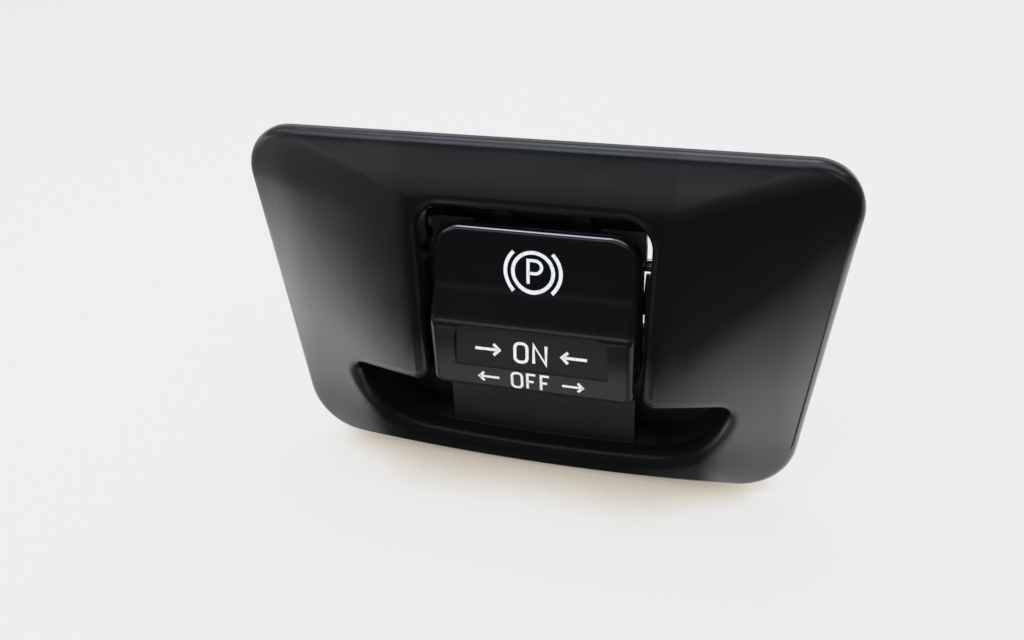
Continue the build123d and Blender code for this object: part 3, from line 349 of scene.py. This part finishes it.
# Each screw points into the part, its seat on the given point
turned = addNode(
    screwTree, "GeometryNodeTransform", {"Geometry": joined.outputs["Geometry"]},
    Rotation=(-math.pi / 2, 0, 0),
)
spread = addNode(
    screwTree, "GeometryNodeInstanceOnPoints",
    {"Points": given["Geometry"], "Instance": turned.outputs["Geometry"]},
)
real = addNode(screwTree, "GeometryNodeRealizeInstances", {"Geometry": spread.outputs["Instances"]})
finished = addNode(
    screwTree, "GeometryNodeSetMaterial", {"Geometry": real.outputs["Geometry"]}, Material=zincSteel
)
screwTree.links.new(finished.outputs["Geometry"], result.inputs["Geometry"])


def seats(node, headHeight):
    # Where each loose part of a CAD screw node has its head's seat
    form = bmesh.new()
    form.from_mesh(node.data)
    bmesh.ops.remove_doubles(form, verts=form.verts, dist=1e-7)
    left, places = set(form.verts), []
    while left:
        reached = [left.pop()]
        for v in reached:
            fresh = {e.other_vert(v) for e in v.link_edges} & left
            left -= fresh
            reached += fresh
        low, high = ([pick(v.co[i] for v in reached) for i in range(3)] for pick in (min, max))
        places.append(((low[0] + high[0]) / 2, high[1] - headHeight * mm, (low[2] + high[2]) / 2))
    form.free()
    return sorted(places)


for node, spec in screwSets.items():
    headRadius, headHeight, shankRadius, screwLength = spec["sizes"]
    points = bpy.data.meshes.new(spec["piece"])
    points.from_pydata(seats(nodes[node], headHeight), [], [])
    maker = bpy.data.objects.new(spec["piece"] + "Maker", points)
    bpy.context.scene.collection.objects.link(maker)
    modifier = maker.modifiers.new("screws", "NODES")
    modifier.node_group = screwTree
    for title, value in (
        ("Head Radius", headRadius), ("Head Height", headHeight), ("Shank Radius", shankRadius),
        ("Length", screwLength), ("Pitch", shankRadius * 0.8), ("Drive", headRadius * 1.15),
    ):
        modifier[sockets[title]] = value * mm
    ready = maker.evaluated_get(bpy.context.evaluated_depsgraph_get())
    mesh = bpy.data.meshes.new_from_object(ready)
    bpy.data.objects.remove(maker)
    for polygon in mesh.polygons:
        polygon.use_smooth = True
    mesh.set_sharp_from_angle(angle=math.radians(35))
    piece = bpy.data.objects.new(spec["piece"], mesh)
    bpy.context.scene.collection.objects.link(piece)
    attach(piece, spec["body"])
    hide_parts(node)
print("screws set")

# Print on the paddle: strokes drawn flat in X and Z, then laid on the moulded face, in mm
printSizes = {
    "symbolX": 0.0, "symbolZ": 40.2, "ringRadius": 3.5, "arcRadius": 4.82, "arcHalfAngle": 46.0,
    "stroke": 0.65, "letterStroke": 0.55, "lineOneZ": 24.3, "lineOneHeight": 3.5,
    "lineTwoZ": 19.2, "lineTwoHeight": 2.9, "thickness": 0.02, "cell": 0.5,
}
symbolLetter = {"left": -0.85, "halfHeight": 2.1, "bowlX": 0.35, "bowlZ": 0.95, "bowlRadius": 1.15}
paddleFace = BVHTree.FromPolygons(
    [v.co.copy() for v in nodes["paddle_shell"].data.vertices],
    [list(p.vertices) for p in nodes["paddle_shell"].data.polygons],
)


def arcPoints(x, z, radius, fromDeg, toDeg, steps=24):
    return [
        (x + radius * math.cos(math.radians(a)), z + radius * math.sin(math.radians(a)))
        for a in (fromDeg + (toDeg - fromDeg) * i / steps for i in range(steps + 1))
    ]


def strokeOutline(form, points, width, closed=False):
    # A flat ribbon of constant width along a line in X and Z, with mitred corners
    if closed:
        points = points[:-1]
    count = len(points)
    rows = []
    for i, point in enumerate(points):
        before = points[(i - 1) % count] if closed or i else point
        after = points[(i + 1) % count] if closed or i < count - 1 else point
        into = Vector((point[0] - before[0], point[1] - before[1]))
        out = Vector((after[0] - point[0], after[1] - point[1]))
        into = into.normalized() if into.length else out.normalized()
        out = out.normalized() if out.length else into
        mean = (into + out).normalized()
        side = Vector((-mean.y, mean.x)) * (width / 2 / max(0.5, mean.dot(out)))
        rows.append([
            form.verts.new(((point[0] + s * side.x) * mm, 0, (point[1] + s * side.y) * mm))
            for s in (1, -1)
        ])
    for i in range(count if closed else count - 1):
        a, b = rows[i], rows[(i + 1) % count]
        form.faces.new((a[0], b[0], b[1], a[1]))


def letter(name, x, z, height):
    # The monoline capitals O, N and F, each as a list of (points, closed) and its width
    width, r = height * 0.62, height * 0.24
    left, right, top = x, x + width, z + height
    if name == "O":
        loop = (
            arcPoints(right - r, top - r, r, 0, 90, 6) + arcPoints(left + r, top - r, r, 90, 180, 6)
            + arcPoints(left + r, z + r, r, 180, 270, 6) + arcPoints(right - r, z + r, r, 270, 360, 6)
        )
        return [(loop + loop[:1], True)], width
    if name == "N":
        return [([(left, z), (left, top), (right, z), (right, top)], False)], width
    middle = z + height * 0.5
    bars = [([(left, z), (left, top), (right - r / 2, top)], False)]
    return bars + [([(left, middle), (right - r, middle)], False)], width - r / 2


def word(letters, z, height, gap):
    # Strokes of a word centred on X = 0, and half of its width
    widths = [letter(name, 0, z, height)[1] for name in letters]
    x = -(sum(widths) + gap * (len(letters) - 1)) / 2
    strokes = []
    for name, width in zip(letters, widths):
        strokes += letter(name, x, z, height)[0]
        x += width + gap
    return strokes, x - gap


def arrow(tipX, tailX, z, size):
    back = math.copysign(size, tailX - tipX)
    head = [(tipX + back, z + size), (tipX, z), (tipX + back, z - size)]
    return [([(tipX, z), (tailX, z)], False), (head, False)]


def layOn(name, strokes, material):
    # Ribbons cut to short lengths, dropped on the paddle's face and given the paint's thickness
    form = bmesh.new()
    for points, closed, width in strokes:
        strokeOutline(form, points, width, closed)
    longEdges = [e for e in form.edges if e.calc_length() > printSizes["cell"] * mm * 1.5]
    bmesh.ops.subdivide_edges(form, edges=longEdges, cuts=6, use_grid_fill=True)
    for v in form.verts:
        hit = paddleFace.ray_cast(Vector((v.co.x, -0.05, v.co.z)), Vector((0, 1, 0)))[0]
        v.co.y = hit.y - 0.3 * printSizes["thickness"] * mm
    for face in form.faces:
        face.normal_update()
        if face.normal.y > 0:
            face.normal_flip()
    top = bmesh.ops.extrude_face_region(form, geom=form.faces[:])
    for v in [g for g in top["geom"] if isinstance(g, bmesh.types.BMVert)]:
        v.co.y -= printSizes["thickness"] * mm
    bmesh.ops.recalc_face_normals(form, faces=form.faces)
    mesh = bpy.data.meshes.new(name)
    form.to_mesh(mesh)
    form.free()
    mesh.materials.append(material)
    piece = bpy.data.objects.new(name, mesh)
    bpy.context.scene.collection.objects.link(piece)
    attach(piece, "paddle")


def plates(name, outline, front, back, material, body):
    # A thin plate on each side of the switch, from an outline in X and Z, all in mm
    form = bmesh.new()
    for side in (-1, 1):
        face = form.faces.new([form.verts.new((side * x * mm, front * mm, z * mm)) for x, z in outline])
        grown = bmesh.ops.extrude_face_region(form, geom=[face])
        for v in [g for g in grown["geom"] if isinstance(g, bmesh.types.BMVert)]:
            v.co.y = back * mm
    bmesh.ops.recalc_face_normals(form, faces=form.faces)
    mesh = bpy.data.meshes.new(name)
    form.to_mesh(mesh)
    form.free()
    mesh.materials.append(material)
    piece = bpy.data.objects.new(name, mesh)
    bpy.context.scene.collection.objects.link(piece)
    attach(piece, body)


# Painted shade: behind the shell's rounded upper corners a square dark plate closes the slot to light
shadePlate = {
    "inner": 11.0, "outer": 18.5, "foot": 42.5, "top": 48.0, "radius": 0.3, "front": -0.5, "back": 0.9,
}
outline = [(shadePlate["inner"], shadePlate["foot"]), (shadePlate["outer"], shadePlate["foot"])]
outline += arcPoints(
    shadePlate["outer"] - shadePlate["radius"], shadePlate["top"] - shadePlate["radius"], shadePlate["radius"], 0, 90, 4
)
outline.append((shadePlate["inner"], shadePlate["top"]))
plates("paintedShadeCornerPlate", outline, shadePlate["front"], shadePlate["back"], grainedAbs, "paddle")

# Painted shade: a thin dark sheet on the housing's arms leaves a dot and two slits of light beside the
# paddle
shadeSheet = {
    "seat": 18.5, "top": 37.6, "upperEdge": 17.68, "tip": (17.4, 33.6), "closed": 17.0,
    "closedTop": 33.4, "closedFoot": 30.0, "lowerEdge": 17.62, "lowerTop": 29.8, "foot": 26.0,
    "front": 5.2, "back": 5.8,
}
outline = [
    (shadeSheet["seat"], shadeSheet["top"]), (shadeSheet["upperEdge"], shadeSheet["top"]), shadeSheet["tip"],
    (shadeSheet["closed"], shadeSheet["closedTop"]), (shadeSheet["closed"], shadeSheet["closedFoot"]),
    (shadeSheet["lowerEdge"], shadeSheet["lowerTop"]), (shadeSheet["lowerEdge"], shadeSheet["foot"]),
    (shadeSheet["seat"], shadeSheet["foot"]),
]
plates("paintedShadeArmSheet", outline, shadeSheet["front"], shadeSheet["back"], blackPbt, "base")

# Pad printed ink, dull white, thin and a little uneven
padPrintInk, tree, shader = newMaterial("padPrintInk")
setShader(shader, "#E4E4E2", 0.55)
place = addNode(tree, "ShaderNodeTexCoord").outputs["Object"]
wear = addNode(tree, "ShaderNodeTexNoise", {"Vector": place}, Scale=1 / (0.5 * mm), Detail=4.0)
tone = addNode(tree, "ShaderNodeValToRGB", {"Fac": wear.outputs["Fac"]})
tone.color_ramp.elements[0].position, tone.color_ramp.elements[0].color = 0.30, linear("#C9C9C6")
tone.color_ramp.elements[1].position, tone.color_ramp.elements[1].color = 0.50, linear("#E6E6E4")
tree.links.new(tone.outputs["Color"], shader.inputs["Base Color"])

x, z, w = printSizes["symbolX"], printSizes["symbolZ"], printSizes["stroke"]
half, ring, arc = printSizes["arcHalfAngle"], printSizes["ringRadius"], printSizes["arcRadius"]
stem, top = x + symbolLetter["left"], z + symbolLetter["halfHeight"]
bowlX, bowlZ, bowl = x + symbolLetter["bowlX"], z + symbolLetter["bowlZ"], symbolLetter["bowlRadius"]
letterLine = [(stem, z - symbolLetter["halfHeight"]), (stem, top), (bowlX, top)]
letterLine += arcPoints(bowlX, bowlZ, bowl, 90, -90, 12) + [(stem, bowlZ - bowl)]
symbol = [
    (arcPoints(x, z, ring, 0, 360, 64), True, w),
    (arcPoints(x, z, arc, -half, half), False, w),
    (arcPoints(x, z, arc, 180 - half, 180 + half), False, w),
    (letterLine, False, w * 0.86),
]
layOn("symbolPrint", symbol, padPrintInk)

words = []
for letters, foot, height, inward in (
    ("ON", printSizes["lineOneZ"], printSizes["lineOneHeight"], True),
    ("OFF", printSizes["lineTwoZ"], printSizes["lineTwoHeight"], False),
):
    strokes, halfWidth = word(letters, foot, height, height * 0.34)
    middle, thick = foot + height / 2, printSizes["letterStroke"] * height / printSizes["lineOneHeight"]
    near = halfWidth + height * 0.8
    far = near + height * 1.25
    for side in (-1, 1):
        tip, tail = (near, far) if inward else (far, near)
        strokes += arrow(side * tip, side * tail, middle, height * 0.3)
    words += [(points, closed, thick) for points, closed in strokes]
layOn("wordPrint", words, padPrintInk)
print("print laid on the paddle")

# Floor
floorSizes = {"left": -2.5, "right": 2.5, "front": -0.36, "back": 5.0}
floorMesh = bpy.data.meshes.new("floor")
floorForm = bmesh.new()
corners = [
    floorForm.verts.new((floorSizes[x], floorSizes[y], 0))
    for x, y in (("left", "front"), ("right", "front"), ("right", "back"), ("left", "back"))
]
floorForm.faces.new(corners)
floorForm.to_mesh(floorMesh)
floorForm.free()
floor = bpy.data.objects.new("floor", floorMesh)
bpy.context.scene.collection.objects.link(floor)

# To the camera the table is pale and keeps the switch's shadow, warm where the lamp is shaded.
# In gloss the table shows a painted reflection: it glows dark but for pale patches of painted light, a
# bright one at the left, one at the right, weak ones before the switch and far left.
floorPaper, tree, shader = newMaterial("floorPaper")
setShader(shader, "#EFEDE9", 0.9)
output = tree.nodes["Material Output"]
rays = addNode(tree, "ShaderNodeLightPath").outputs
place = addNode(tree, "ShaderNodeTexCoord").outputs["Object"]
split = addNode(tree, "ShaderNodeSeparateXYZ", {"Vector": place}).outputs
floorX, floorY = split["X"], split["Y"]
patches = {"left": 3.7, "rightFar": 1.0, "right": 1.7, "near": 0.85, "far": 0.45, "weak": 0.45}

# Each patch is a product of smooth steps between places in metres
slant = reckon(tree, "MULTIPLY_ADD", floorX, -0.6, floorY)
leftPatch = combine(tree, "MULTIPLY", [
    fade(tree, slant, -0.018, 0.002), fade(tree, floorX, -0.17, -0.12),
    fade(tree, floorX, -0.045, -0.026, patches["left"], 0.0), fade(tree, floorY, -0.035, -0.005, 1.0, 0.55),
])
rightPatch = reckon(
    tree, "MULTIPLY", fade(tree, floorX, 0.014, 0.046),
    reckon(
        tree, "ADD", fade(tree, floorY, -0.074, -0.062, 0.0, patches["rightFar"]),
        fade(tree, floorY, -0.060, -0.030, 0.0, patches["right"]),
    ),
)
nearPatch = combine(tree, "MULTIPLY", [
    fade(tree, floorY, -0.046, -0.036), fade(tree, floorY, -0.026, -0.018, 1.0, 0.2),
    fade(tree, floorX, 0.010, 0.040, patches["near"], 0.0),
])
weakPatch = combine(tree, "MULTIPLY", [
    fade(tree, floorY, -0.105, -0.085), fade(tree, floorY, -0.056, -0.044, 1.0, 0.0),
    fade(tree, floorX, -0.052, -0.038), fade(tree, floorX, 0.004, 0.016, patches["weak"], 0.0),
])
farPatch = fade(tree, floorX, -0.22, -0.08, patches["far"], 0.0)
mirrored = combine(tree, "ADD", [leftPatch, rightPatch, nearPatch, weakPatch, farPatch])
mirror = addNode(tree, "ShaderNodeEmission", {"Strength": mirrored})

# Near the switch less of the room's light reaches the table: a tight, warm shadow
reach = addNode(tree, "ShaderNodeAmbientOcclusion", {}, {"samples": 16}, Distance=0.03)
ends = fade(tree, reckon(tree, "ABSOLUTE", floorX), 0.018, 0.036, 0.0, 0.09)
opened = reckon(tree, "ADD", reach.outputs["AO"], ends)
shade = addNode(tree, "ShaderNodeValToRGB", {"Fac": opened})
ramp = shade.color_ramp
ramp.elements[0].position, ramp.elements[0].color = 0.05, linear("#948C7F")
ramp.elements[1].position, ramp.elements[1].color = 0.72, linear("#EDEDED")
for position, colour in (
    (0.19, "#AAA193"), (0.38, "#B6AD9F"), (0.48, "#C9C0B1"),
    (0.575, "#D6CEC0"), (0.63, "#E4DED3"), (0.68, "#ECE9E5"),
):
    ramp.elements.new(position).color = linear(colour)
lift = addNode(tree, "ShaderNodeEmission", {"Color": shade.outputs["Color"]}, Strength=0.9)
paper = addNode(tree, "ShaderNodeBsdfDiffuse", Color=(0.062, 0.062, 0.062, 1))
shown = addNode(
    tree, "ShaderNodeAddShader", {"_0": lift.outputs["Emission"], "_1": paper.outputs["BSDF"]}
)
toCamera = addNode(
    tree, "ShaderNodeMixShader",
    {"Fac": rays["Is Camera Ray"], "_1": shader.outputs["BSDF"], "_2": shown.outputs["Shader"]},
)
toGloss = addNode(
    tree, "ShaderNodeMixShader",
    {"Fac": rays["Is Glossy Ray"], "_1": toCamera.outputs["Shader"], "_2": mirror.outputs["Emission"]},
)
tree.links.new(toGloss.outputs["Shader"], output.inputs["Surface"])
floorMesh.materials.append(floorPaper)
print("floor laid")

# The room as seen in gloss: a bright band low down, a dark wall, a pale ceiling, and light behind
world = bpy.data.worlds.new("studio")
bpy.context.scene.world = world
world.use_nodes = True
tree = world.node_tree
background = tree.nodes["Background"]
rays = addNode(tree, "ShaderNodeLightPath").outputs
direction = addNode(tree, "ShaderNodeTexCoord").outputs["Generated"]
way = addNode(tree, "ShaderNodeSeparateXYZ", {"Vector": direction}).outputs
height = addNode(tree, "ShaderNodeValToRGB", {"Fac": way["Z"]})
for position, colour in (
    (0.0, (0.05, 0.05, 0.05, 1)), (0.12, (0.32, 0.32, 0.35, 1)), (0.19, (0.95, 0.93, 1.0, 1)),
    (0.30, (1.0, 0.98, 1.05, 1)), (0.36, (0.08, 0.08, 0.09, 1)), (0.70, (0.12, 0.12, 0.14, 1)),
    (0.95, (0.55, 0.62, 0.72, 1)),
):
    height.color_ramp.elements.new(position).color = colour
behind = fade(tree, way["Y"], 0.0, 0.8, 0.0, 0.4)
aside = fade(tree, way["X"], -0.65, -0.40, 0.6, 0.0)
room = addNode(
    tree, "ShaderNodeMix", {"Factor": reckon(tree, "MAXIMUM", behind, aside)},
    {"data_type": "RGBA", "blend_type": "ADD"},
)
tree.links.new(height.outputs["Color"], room.inputs[6])
room.inputs[7].default_value = (1, 1, 1, 1)
overFront = fade(tree, way["Y"], -0.15, 0.0, 2.6, 0.0)
overTop = fade(tree, way["Z"], 0.62, 0.72)
over = reckon(tree, "MULTIPLY", overFront, overTop)
canopy = addNode(
    tree, "ShaderNodeVectorMath", {"_0": over, "_2": room.outputs[2]}, {"operation": "MULTIPLY_ADD"},
    _1=(0.95, 0.99, 1.05),
)
# Matt surfaces get an even fill, and the camera and clear pieces see a plain pale wall
fill = addNode(tree, "ShaderNodeMix", {"Factor": rays["Is Diffuse Ray"]}, {"data_type": "RGBA"})
tree.links.new(canopy.outputs["Vector"], fill.inputs[6])
fill.inputs[7].default_value = (0.74, 0.74, 0.75, 1)
seen = reckon(tree, "MAXIMUM", rays["Is Camera Ray"], rays["Is Transmission Ray"])
pale = addNode(tree, "ShaderNodeMix", {"Factor": seen}, {"data_type": "RGBA"})
tree.links.new(fill.outputs[2], pale.inputs[6])
pale.inputs[7].default_value = (0.85, 0.85, 0.85, 1)
tree.links.new(pale.outputs[2], background.inputs["Color"])
background.inputs["Strength"].default_value = 1.0


def areaLamp(name, place, target, width, height, watts, colour):
    data = bpy.data.lights.new(name, "AREA")
    data.shape = "RECTANGLE"
    data.size, data.size_y = width, height
    data.energy = watts
    data.color = linear(colour)[:3]
    lamp = bpy.data.objects.new(name, data)
    lamp.location = place
    lamp.rotation_euler = (Vector(target) - Vector(place)).to_track_quat("-Z", "Y").to_euler()
    bpy.context.scene.collection.objects.link(lamp)


# Lamps: a large soft box behind and above, a small one at the front left
areaLamp("backBox", (-0.06, 0.20, 0.62), (0, 0.0, 0.02), 0.45, 0.34, 3.0, "#E6EFFF")
areaLamp("frontBox", (-0.156, -0.335, 0.513), (0, 0.0, 0.04), 0.23, 0.23, 1.06, "#DDE9FF")

# Camera, solved from the photograph's perspective
cameraData = bpy.data.cameras.new("camera")
cameraData.lens = 36.09
cameraData.sensor_width = 36
cameraData.clip_start = 0.005
camera = bpy.data.objects.new("camera", cameraData)
camera.location = (0.04235, -0.15208, 0.11533)
camera.rotation_euler = [math.radians(a) for a in (61.476, 1.851, 16.283)]
bpy.context.scene.collection.objects.link(camera)
bpy.context.scene.camera = camera
bpy.context.scene.view_settings.view_transform = "Standard"
print("stage set")
